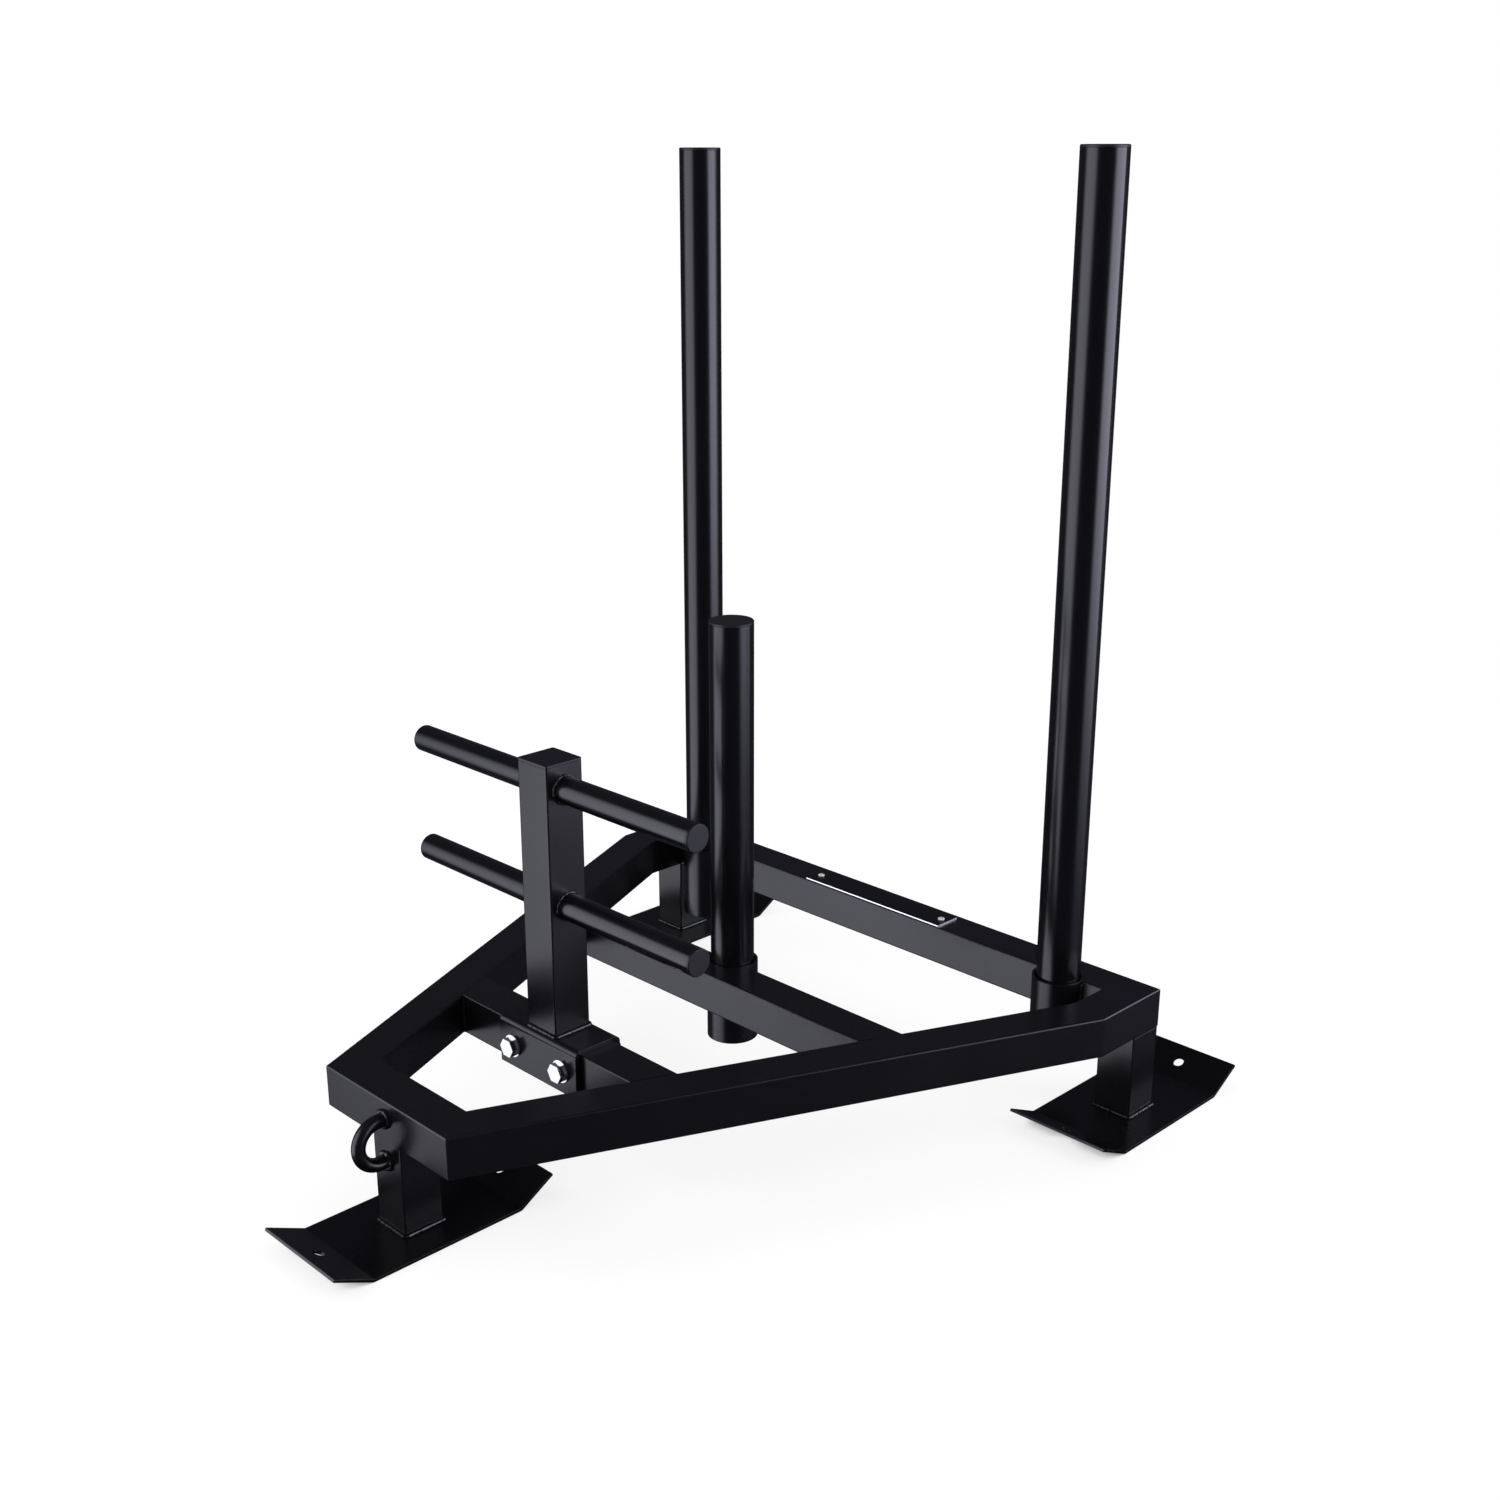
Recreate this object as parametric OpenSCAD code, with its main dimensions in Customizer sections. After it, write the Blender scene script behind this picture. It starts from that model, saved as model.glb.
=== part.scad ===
// Push sled: a welded frame of square tube on three bent skids, with a removable weight
// post, two removable push poles, a bolted front handle and a tow loop.
// The front (nose) looks along -Y. The origin lies on the ground, under the middle of
// the sled's length and width.

/* [Frame] */
// Side of the square tube of the frame, the legs and the handle post
tube = 45; // [40:1:50]
// Wall of the square tube
tube_wall = 2.5; // [2:0.5:4]
// Outside corner radius of the square tube
tube_corner = 2; // [1:0.5:3]
// Width of the frame across its rear rail
frame_w = 762; // [720:2:840]
// Length of the frame from the nose to the rear rail's back face
frame_l = 735; // [700:5:800]
// Width of the nose bar's front face
nose_w = 200; // [160:5:240]
// Length of the straight side piece ahead of each rear corner
shoulder_l = 103; // [90:1:130]
// Distance from the nose to the front face of the front cross rail
front_rail_at = 191; // [170:1:220]
// Distance from the nose to the front face of the middle rail
mid_rail_at = 412; // [380:2:450]

/* [Legs and skids] */
// Height of the legs between a skid and the frame
leg_h = 94.5; // [80:0.5:120]
// Width of a skid
skid_w = 120; // [100:2:140]
// Flat length of a skid between its two bends
skid_flat = 170; // [130:2:200]
// Length of each bent-up end of a skid
skid_flap = 45; // [35:1:55]
// Angle of the bent-up front ends
front_flap_angle = 25; // [20:1:35]
// Angle of the bent-up rear ends
rear_flap_angle = 30; // [20:1:35]
// Thickness of the skid plate
skid_t = 3; // [2:0.5:5]
// Inside radius of the skid's bends
skid_bend_r = 3; // [2:0.5:6]
// Diameter of the hole in each bent-up end
skid_hole_d = 12; // [8:0.5:14]
// How far the middle of a skid lies behind the middle of its leg
skid_setback = 3; // [0:0.5:6]

/* [Posts and sockets] */
// Outside diameter of the push poles and the weight post
post_d = 48.3; // [45:0.1:49.3]
// Wall of the push poles and the weight post
post_wall = 2.6; // [2:0.2:4]
// Length of the tube of a push pole
pole_l = 950; // [800:10:1100]
// Length of the tube of the weight post
weight_post_l = 475; // [350:5:550]
// Outside diameter of a socket
socket_d = 57; // [56.5:0.5:60]
// Wall of a socket
socket_wall = 3; // [2:0.25:3.5]
// Length of a socket
socket_l = 92; // [70:1:110]
// Distance of a socket's axis from the face of the rail that carries it
socket_offset = 4.5; // [2:0.5:10]
// Gap between a rear socket and the side of the frame
socket_inset = 25.5; // [10:0.5:60]
// Thickness of the disc that closes a socket's bottom
socket_floor_t = 3; // [2:0.5:5]
// Drain hole in the disc
drain_d = 10; // [6:1:16]
// Thickness of a post cap's flange
cap_flange_t = 3; // [2:0.5:4]
// Depth of a post cap's stem in the tube
cap_stem_l = 18; // [10:1:25]
// Wall of a cap's or plug's hollow stem
stem_wall = 3; // [2:0.5:4]

/* [Tow loop] */
// Diameter of the round bar of the tow loop
loop_bar_d = 14; // [10:1:16]
// Radius of the loop's bend, on the bar's middle line
loop_r = 22.5; // [20:0.5:28]
// Straight length of each end of the loop
loop_straight = 8.5; // [4:0.5:20]
// Height of the loop's middle above the underside of the frame
loop_up = 3; // [0:0.5:6]

/* [Handle] */
// Length of the handle post, without its cap plate
handle_post_l = 286; // [280:1:340]
// Thickness of the plate that closes the handle post
handle_cap_t = 3; // [2:0.5:5]
// Height of the lower handle bar's axis above the frame
lower_bar_up = 143; // [120:1:160]
// Height of the upper handle bar's axis above the frame
upper_bar_up = 266; // [240:1:268]
// Outside diameter of the handle bars
bar_d = 28; // [24:0.5:32]
// Wall of the handle bars
bar_wall = 2; // [1.5:0.5:3]
// Length of the handle bars
bar_l = 420; // [360:5:480]
// Thickness of the flange of a bar's end plug
plug_flange_t = 2.5; // [1.5:0.5:4]
// Depth of an end plug's stem in the bar
plug_stem_l = 14; // [8:1:20]

/* [Saddle] */
// Length of the saddle across the sled
saddle_l = 123; // [120:1:150]
// Thickness of the saddle plate
saddle_t = 5; // [3:0.5:6]
// Inside radius of the saddle's bends
saddle_bend_r = 2; // [1.5:0.5:2.5]
// How far the saddle's flanges reach below the rail's underside
saddle_below = 2; // [0:0.5:6]
// Distance between the two saddle bolts
bolt_pitch = 78; // [76:1:96]
// Diameter of the saddle bolts
bolt_d = 12; // [10:1:12]
// Width of the bolt heads and nuts across their flats
bolt_flats = 18; // [16:1:19]
// Height of the bolt heads
bolt_head_h = 7.5; // [6:0.5:9]
// Height of the nuts
nut_h = 10; // [8:0.5:11]
// Length of thread that shows past a nut
bolt_past = 4; // [2:0.5:8]
// Outside diameter of the washers
washer_d = 24; // [22:1:26]
// Thickness of the washers
washer_t = 2.5; // [2:0.5:3]

/* [Name plate] */
// Length of the blank name plate
plate_l = 211; // [205:1:240]
// Width of the name plate
plate_w = 35; // [28:0.5:36]
// Thickness of the name plate
plate_t = 1.5; // [1:0.5:3]
// Distance of a plate screw from its end of the plate
plate_screw_inset = 9; // [6:0.5:30]
// Diameter of the screw heads
screw_head_d = 8; // [6:0.5:10]
// Height of the screw heads
screw_head_h = 2.4; // [2:0.2:4]
// Diameter of the screws
screw_d = 4; // [3:0.5:5]
// Length of the screws under their heads
screw_l = 10; // [8:1:14]

/* [Clearances] */
// Gap all round a socket or a bar where it is let into another tube before welding
weld_gap = 0.2; // [0.1:0.05:0.3]
// Gap between the saddle's flanges and the rail
saddle_gap = 1.75; // [0.5:0.25:2.5]
// How much wider than its bolt or screw a plain hole is
hole_gap = 1; // [0.5:0.25:1.5]
// How much wider than its bolt or screw a threaded hole is drawn
thread_gap = 0.1; // [0.05:0.05:0.2]
// Gap all round the stem of a cap or plug, and round a socket's floor disc
stem_gap = 0.15; // [0.1:0.05:0.3]

/* [Hidden] */
$fn = 64;
// Faces of a hexagon, and the ratio of its corners to its flats
hex_sides = 6;
hex_ratio = 1 / cos(30);
// Overshoot of every cutting shape
cut = 10;

// A skid in profile: the radius of the bend's outer face, and how far a flap reaches
skid_outer_r = skid_bend_r + skid_t;
function flap_reach(angle) = skid_outer_r * sin(angle) + skid_flap * cos(angle);
// Outline of a skid's end in profile: under the bend and flap, round the tip and back
bend_steps = 8;
bend_centre = [skid_flat / 2, skid_outer_r];
function bend_points(r, angle) = [
    for (i = [0 : bend_steps])
        let (a = angle * i / bend_steps)
        bend_centre + r * [sin(a), -cos(a)]
];
function flap_side(angle) =
    let (
        flap = skid_flap * [cos(angle), sin(angle)],
        under = bend_points(skid_outer_r, angle),
        over = bend_points(skid_bend_r, angle)
    )
    concat(
        under,
        [under[bend_steps] + flap, over[bend_steps] + flap],
        [for (i = [bend_steps : -1 : 0]) over[i]]
    );
side_points = 2 * bend_steps + 4;
rear_order = [for (i = [0 : side_points - 1]) i];
front_order = [for (i = [side_points - 1 : -1 : 0]) side_points + i];

// The plan of the frame, with the nose at nose_y, which centres the skids on y = 0
leg_mid = tube / 2;
reach_difference = flap_reach(rear_flap_angle) - flap_reach(front_flap_angle);
nose_y = -(frame_l + 2 * skid_setback + reach_difference) / 2;
rear_y = nose_y + frame_l;
bend_y = rear_y - shoulder_l;
front_rail_y = nose_y + front_rail_at;
mid_rail_y = nose_y + mid_rail_at;
handle_y = front_rail_y + tube / 2;
rear_leg_x = frame_w / 2 - leg_mid;
front_leg_y = nose_y + leg_mid;
rear_leg_y = rear_y - leg_mid;

// Heights above the ground
frame_z = skid_t + leg_h;
frame_top = frame_z + tube;
socket_z = frame_top - socket_l;
post_z = socket_z + socket_floor_t;
saddle_top = frame_top + saddle_t;
rail_mid_z = frame_top - tube / 2;

// Sockets: bore, and the places of their axes
socket_bore = socket_d - 2 * socket_wall;
socket_x = frame_w / 2 - tube - socket_inset - socket_d / 2;
pole_y = rear_y - tube - socket_offset;
weight_y = mid_rail_y + tube + socket_offset;

// Stack on each saddle bolt: the saddle's faces, and the seats of head and nut
saddle_half = tube / 2 + saddle_gap + saddle_t;
saddle_back = handle_y + saddle_half;
head_seat = handle_y - saddle_half - washer_t;
nut_seat = saddle_back + washer_t;

// Middle of the name plate, whose front edge lies just behind the tube's rounded corner,
// and how far its screws stand to each side
plate_y = rear_y - tube + tube_corner + plate_w / 2;
plate_screw_x = plate_l / 2 - plate_screw_inset;

// Share of a cap's flange that its rim's chamfer takes
rim_chamfer = 0.3;
// Screw head in profile: each point as shares of its radius and its height
screw_dome = [[1, 0], [1, 0.4], [0.8, 0.85], [0.4, 1], [0, 1]];

// Mitre joints of the right half of the frame, each as [outer point, inner point]
side_run = [frame_w / 2 - nose_w / 2, bend_y - nose_y];
side_len = norm(side_run);
side_dir = side_run / side_len;
side_in = [-side_dir.y, side_dir.x];
nose_out = [nose_w / 2, nose_y];
bend_out = [frame_w / 2, bend_y];
rear_out = [frame_w / 2, rear_y];
nose_in = nose_out + side_in * tube + side_dir * tube * (1 - side_dir.x) / side_dir.y;
bend_in = bend_out + side_in * tube + side_dir * tube * (side_dir.y - 1) / side_dir.x;
rear_in = rear_out - [tube, tube];
nose_mitre = [nose_out, nose_in];
bend_mitre = [bend_out, bend_in];
rear_mitre = [rear_out, rear_in];

// Half width of the space between the side rails, at a given y
function inside_x(y) = nose_in.x + (y - nose_in.y) * side_dir.x / side_dir.y;
// End of a cross rail whose front face lies at a given y
function cross_end(y) = [[inside_x(y), y], [inside_x(y + tube), y + tube]];
// A mitre seen from the other side of the sled
function mirrored(m) = [[-m[0].x, m[0].y], [-m[1].x, m[1].y]];

// Outline of the square tube
module tube_outline() {
    square([tube, tube - 2 * tube_corner], center = true);
    square([tube - 2 * tube_corner, tube], center = true);
    for (x = [-1, 1], y = [-1, 1])
        translate([x, y] * (tube / 2 - tube_corner))
            circle(r = tube_corner);
}

// Cross section of the square tube
module tube_section() {
    difference() {
        tube_outline();
        square(tube - 2 * tube_wall, center = true);
    }
}

// Upright square tube that stands on z = 0
module upright_tube(l) {
    linear_extrude(l)
        tube_section();
}

// Tube of the frame between two mitres, its outer edge from the first to the second
module rail(from, to) {
    run = to[0] - from[0];
    from_dir = (from[1] - from[0]) / norm(from[1] - from[0]);
    to_dir = (to[1] - to[0]) / norm(to[1] - to[0]);
    translate([0, 0, frame_z])
        intersection() {
            translate(from[0])
                rotate(atan2(run.y, run.x))
                    translate([-2 * tube, tube / 2, tube / 2])
                        rotate([90, 0, 90])
                            linear_extrude(norm(run) + 4 * tube)
                                tube_section();
            translate([0, 0, -cut])
                linear_extrude(tube + 2 * cut)
                    polygon([
                        from[0] - from_dir * cut,
                        to[0] - to_dir * cut,
                        to[1] + to_dir * cut,
                        from[1] + from_dir * cut
                    ]);
        }
}

// Round notch for a socket that is let into a rail
module socket_notch(x, y) {
    translate([x, y, socket_z - cut])
        cylinder(d = socket_d + 2 * weld_gap, h = socket_l + 2 * cut);
}

module nose_bar() {
    color("#3a3a40")
        rail(mirrored(nose_mitre), nose_mitre);
}

module side_rail() {
    color("#3a3a40")
        rail(nose_mitre, bend_mitre);
}

module corner_rail() {
    color("#3a3a40")
        rail(bend_mitre, rear_mitre);
}

module rear_rail() {
    color("#3a3a40")
        difference() {
            rail(rear_mitre, mirrored(rear_mitre));
            for (side = [-1, 1]) {
                socket_notch(side * socket_x, pole_y);
                translate([side * plate_screw_x, plate_y, rail_mid_z])
                    cylinder(d = screw_d + thread_gap, h = tube);
            }
        }
}

module mid_rail() {
    color("#3a3a40")
        difference() {
            rail(mirrored(cross_end(mid_rail_y)), cross_end(mid_rail_y));
            socket_notch(0, weight_y);
        }
}

module front_rail() {
    color("#3a3a40")
        difference() {
            rail(mirrored(cross_end(front_rail_y)), cross_end(front_rail_y));
            for (side = [-1, 1])
                translate([side * bolt_pitch / 2, front_rail_y - cut, rail_mid_z])
                    rotate([-90, 0, 0])
                        cylinder(d = bolt_d + hole_gap, h = tube + 2 * cut);
        }
}

module leg(x, y) {
    color("#3a3a40")
        translate([x, y, skid_t])
            upright_tube(leg_h);
}

// Cutter for the hole in a bent-up end
module flap_hole(angle) {
    translate([0, skid_flat / 2, skid_outer_r])
        rotate([angle, 0, 0])
            translate([0, skid_flap / 2, -skid_outer_r - cut])
                cylinder(d = skid_hole_d, h = skid_t + 2 * cut);
}

// Skid under the leg at the given place
module skid(x, y) {
    color("#34343a")
        translate([x, y + skid_setback, 0])
            difference() {
                translate([-skid_w / 2, 0, 0])
                    rotate([90, 0, 90])
                        linear_extrude(skid_w)
                            polygon(concat(
                                flap_side(rear_flap_angle),
                                [for (p = flap_side(front_flap_angle)) [-p.x, p.y]]
                            ), [concat(rear_order, front_order)]);
                flap_hole(rear_flap_angle);
                mirror([0, 1, 0])
                    flap_hole(front_flap_angle);
            }
}

module socket(x, y) {
    color("#3a3a40")
        translate([x, y, socket_z])
            difference() {
                cylinder(d = socket_d, h = socket_l);
                translate([0, 0, -cut])
                    cylinder(d = socket_bore, h = socket_l + 2 * cut);
            }
}

module socket_floors() {
    color("#303034")
        for (at = [[-socket_x, pole_y], [socket_x, pole_y], [0, weight_y]])
            translate([at.x, at.y, socket_z])
                difference() {
                    cylinder(d = socket_bore - 2 * stem_gap, h = socket_floor_t);
                    translate([0, 0, -cut])
                        cylinder(d = drain_d, h = socket_floor_t + 2 * cut);
                }
}

// Tow loop: a bar bent to a half circle with two straight ends, upright on the nose
module tow_loop() {
    color("#3a3a40")
        translate([0, nose_y, frame_z + loop_up])
            rotate([90, 0, -90]) {
                translate([loop_straight, 0, 0])
                    rotate(-90)
                        rotate_extrude(angle = 180)
                            translate([loop_r, 0])
                                circle(d = loop_bar_d);
                for (end = [-1, 1])
                    translate([0, end * loop_r, 0])
                        rotate([0, 90, 0])
                            cylinder(d = loop_bar_d, h = loop_straight);
            }
}

// Round tube of a push pole or the weight post, standing on its socket's floor
module post(x, y, l) {
    color("#3c3c42")
        translate([x, y, post_z])
            difference() {
                cylinder(d = post_d, h = l);
                translate([0, 0, -cut])
                    cylinder(d = post_d - 2 * post_wall, h = l + 2 * cut);
            }
}

// Plug with a round flange on top and a hollow stem below, its flange's seat at z = 0
module plug(d, bore, flange_t, stem_l) {
    stem_d = bore - 2 * stem_gap;
    rotate_extrude()
        polygon([
            [0, 0],
            [stem_d / 2 - stem_wall, 0],
            [stem_d / 2 - stem_wall, -stem_l],
            [stem_d / 2, -stem_l],
            [stem_d / 2, 0],
            [d / 2, 0],
            [d / 2, flange_t * (1 - rim_chamfer)],
            [d / 2 - flange_t * rim_chamfer, flange_t],
            [0, flange_t]
        ]);
}

module post_cap(x, y, l) {
    color("#2c2c30")
        translate([x, y, post_z + l])
            plug(post_d, post_d - 2 * post_wall, cap_flange_t, cap_stem_l);
}

// Saddle: a channel bent over the front rail, open below, with two bolt holes through
module saddle() {
    inner_w = tube + 2 * saddle_gap;
    outer_r = saddle_bend_r + saddle_t;
    leg_l = tube + saddle_below - saddle_bend_r;
    color("#3a3a40")
        difference() {
            translate([-saddle_l / 2, handle_y, frame_top - saddle_bend_r])
                rotate([90, 0, 90])
                    linear_extrude(saddle_l)
                        for (flip = [0, 1])
                            mirror([flip, 0]) {
                                translate([0, saddle_bend_r])
                                    square([inner_w / 2 - saddle_bend_r, saddle_t]);
                                translate([inner_w / 2, -leg_l])
                                    square([saddle_t, leg_l]);
                                translate([inner_w / 2 - saddle_bend_r, 0])
                                    intersection() {
                                        difference() {
                                            circle(r = outer_r);
                                            circle(r = saddle_bend_r);
                                        }
                                        square(outer_r);
                                    }
                            }
            for (side = [-1, 1])
                translate([side * bolt_pitch / 2, handle_y - tube, rail_mid_z])
                    rotate([-90, 0, 0])
                        cylinder(d = bolt_d + hole_gap, h = 2 * tube);
        }
}

// Handle post: square tube on the saddle, bored across for the two handle bars
module handle_post() {
    color("#3a3a40")
        difference() {
            translate([0, handle_y, saddle_top])
                upright_tube(handle_post_l);
            for (up = [lower_bar_up, upper_bar_up])
                translate([-tube, handle_y, frame_top + up])
                    rotate([0, 90, 0])
                        cylinder(d = bar_d + 2 * weld_gap, h = 2 * tube);
        }
}

// Plate welded on top of the handle post
module handle_post_cap() {
    color("#3a3a40")
        translate([0, handle_y, saddle_top + handle_post_l])
            linear_extrude(handle_cap_t)
                tube_outline();
}

module handle_bar(up) {
    color("#3c3c42")
        translate([-bar_l / 2, handle_y, frame_top + up])
            rotate([0, 90, 0])
                difference() {
                    cylinder(d = bar_d, h = bar_l);
                    translate([0, 0, -cut])
                        cylinder(d = bar_d - 2 * bar_wall, h = bar_l + 2 * cut);
                }
}

module bar_plugs(up) {
    color("#3c3c42")
        for (side = [-1, 1])
            translate([side * bar_l / 2, handle_y, frame_top + up])
                rotate([0, side * 90, 0])
                    plug(bar_d, bar_d - 2 * bar_wall, plug_flange_t, plug_stem_l);
}

// Hexagon with chamfered corners, from z = 0 up, chamfered at the far end
module hex_body(h) {
    corner_d = bolt_flats * hex_ratio;
    intersection() {
        cylinder(d = corner_d, h = h, $fn = hex_sides);
        cylinder(d1 = corner_d + 2 * h, d2 = bolt_flats, h = h + (corner_d - bolt_flats) / 2);
    }
}

module saddle_bolts() {
    color("#d8d8dc")
        for (side = [-1, 1])
            translate([side * bolt_pitch / 2, head_seat, rail_mid_z]) {
                rotate([90, 0, 0])
                    hex_body(bolt_head_h);
                rotate([-90, 0, 0])
                    cylinder(d = bolt_d, h = nut_seat - head_seat + nut_h + bolt_past);
            }
}

module saddle_washers() {
    color("#d8d8dc")
        for (side = [-1, 1], y = [head_seat, saddle_back])
            translate([side * bolt_pitch / 2, y, rail_mid_z])
                rotate([-90, 0, 0])
                    difference() {
                        cylinder(d = washer_d, h = washer_t);
                        translate([0, 0, -cut])
                            cylinder(d = bolt_d + hole_gap, h = washer_t + 2 * cut);
                    }
}

module saddle_nuts() {
    color("#d8d8dc")
        for (side = [-1, 1])
            translate([side * bolt_pitch / 2, nut_seat, rail_mid_z])
                rotate([-90, 0, 0])
                    difference() {
                        hex_body(nut_h);
                        translate([0, 0, -cut])
                            cylinder(d = bolt_d + thread_gap, h = nut_h + 2 * cut);
                    }
}

module name_plate() {
    color("#4a4a50")
        difference() {
            translate([-plate_l / 2, plate_y - plate_w / 2, frame_top])
                cube([plate_l, plate_w, plate_t]);
            for (side = [-1, 1])
                translate([side * plate_screw_x, plate_y, frame_top - cut])
                    cylinder(d = screw_d + hole_gap, h = plate_t + 2 * cut);
        }
}

module plate_screws() {
    head = [for (p = screw_dome) [p.x * screw_head_d / 2, p.y * screw_head_h]];
    shank = [[0, -screw_l], [screw_d / 2, -screw_l], [screw_d / 2, 0]];
    color("#d8d8dc")
        for (side = [-1, 1])
            translate([side * plate_screw_x, plate_y, frame_top + plate_t])
                rotate_extrude()
                    polygon(concat(shank, head));
}

nose_bar();
mirror([1, 0, 0]) side_rail();  // side_rail_left
side_rail();  // side_rail_right
mirror([1, 0, 0]) corner_rail();  // corner_rail_left
corner_rail();  // corner_rail_right
rear_rail();
mid_rail();
front_rail();
leg(0, front_leg_y);  // front_leg
leg(-rear_leg_x, rear_leg_y);  // rear_leg_left
leg(rear_leg_x, rear_leg_y);  // rear_leg_right
skid(0, front_leg_y);  // front_skid
skid(-rear_leg_x, rear_leg_y);  // rear_skid_left
skid(rear_leg_x, rear_leg_y);  // rear_skid_right
socket(-socket_x, pole_y);  // pole_socket_left
socket(socket_x, pole_y);  // pole_socket_right
socket(0, weight_y);  // post_socket
socket_floors();
tow_loop();
post(-socket_x, pole_y, pole_l);  // push_pole_left
post(socket_x, pole_y, pole_l);  // push_pole_right
post_cap(-socket_x, pole_y, pole_l);  // pole_cap_left
post_cap(socket_x, pole_y, pole_l);  // pole_cap_right
post(0, weight_y, weight_post_l);  // weight_post
post_cap(0, weight_y, weight_post_l);  // weight_post_cap
saddle();
handle_post();
handle_post_cap();
handle_bar(upper_bar_up);  // upper_handle
handle_bar(lower_bar_up);  // lower_handle
bar_plugs(upper_bar_up);  // upper_handle_plugs
bar_plugs(lower_bar_up);  // lower_handle_plugs
saddle_bolts();
saddle_washers();
saddle_nuts();
name_plate();
plate_screws();
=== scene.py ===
import math

import bmesh
import bpy
from mathutils import Matrix, Vector, noise


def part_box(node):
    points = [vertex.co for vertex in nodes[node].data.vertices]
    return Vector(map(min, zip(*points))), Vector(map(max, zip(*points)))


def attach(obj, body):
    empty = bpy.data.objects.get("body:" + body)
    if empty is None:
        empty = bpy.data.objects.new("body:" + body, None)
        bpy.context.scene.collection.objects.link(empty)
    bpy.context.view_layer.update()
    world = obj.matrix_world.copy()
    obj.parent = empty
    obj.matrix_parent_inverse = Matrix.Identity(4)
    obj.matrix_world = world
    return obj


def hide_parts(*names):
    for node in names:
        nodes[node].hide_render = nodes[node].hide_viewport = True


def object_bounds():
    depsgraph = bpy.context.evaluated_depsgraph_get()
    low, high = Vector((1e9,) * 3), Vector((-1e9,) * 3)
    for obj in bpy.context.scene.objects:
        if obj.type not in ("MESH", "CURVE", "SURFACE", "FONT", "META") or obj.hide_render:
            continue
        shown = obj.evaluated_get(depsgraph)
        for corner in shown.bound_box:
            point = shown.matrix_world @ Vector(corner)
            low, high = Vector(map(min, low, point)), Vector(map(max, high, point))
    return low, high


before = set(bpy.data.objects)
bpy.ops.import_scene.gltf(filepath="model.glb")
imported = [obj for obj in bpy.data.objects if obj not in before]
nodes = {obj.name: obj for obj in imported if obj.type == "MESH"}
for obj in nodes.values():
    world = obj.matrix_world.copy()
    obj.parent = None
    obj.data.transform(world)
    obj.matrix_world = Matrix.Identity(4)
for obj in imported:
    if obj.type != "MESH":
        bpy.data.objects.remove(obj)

cad_low, cad_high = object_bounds()
scene = bpy.context.scene

# The sled is seen from ahead of its nose and from its right, from a little below the
# tops of the push poles, which stand almost upright in the square picture.
CAMERA_AT = (1.33667, -1.19978, 0.98904)
CAMERA_TILT = math.radians(72.06)
CAMERA_TURN = math.radians(45.38)
LENS = 43.49
SENSOR = 36.0

camera = bpy.data.objects.new("camera", bpy.data.cameras.new("camera"))
camera.location = CAMERA_AT
camera.rotation_euler = (CAMERA_TILT, 0, CAMERA_TURN)
camera.data.lens = LENS
camera.data.sensor_width = SENSOR
scene.collection.objects.link(camera)
scene.camera = camera
scene.view_settings.view_transform = "Standard"

# Steel tube of the frame, cut and welded, then powder coated satin black in one go
# with its legs, sockets, saddle and handle post. The coat has a fine orange peel.
FRAME_BLACK = (0.0050, 0.0051, 0.0071, 1)
FRAME_PARTS = (
    "nose_bar", "side_rail_left", "side_rail_right", "corner_rail_left",
    "corner_rail_right", "rear_rail", "mid_rail", "front_rail", "front_leg",
    "rear_leg_left", "rear_leg_right", "pole_socket_left", "pole_socket_right",
    "post_socket", "socket_floors", "tow_loop", "saddle", "handle_post",
    "handle_post_cap",
)


def add_node(tree, kind, **values):
    """A node of the tree, with its options set and its inputs filled by name."""
    made = tree.nodes.new(kind)
    for name, value in values.items():
        if hasattr(made, name):
            setattr(made, name, value)
        else:
            made.inputs[name.replace("_", " ")].default_value = value
    return made


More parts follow.
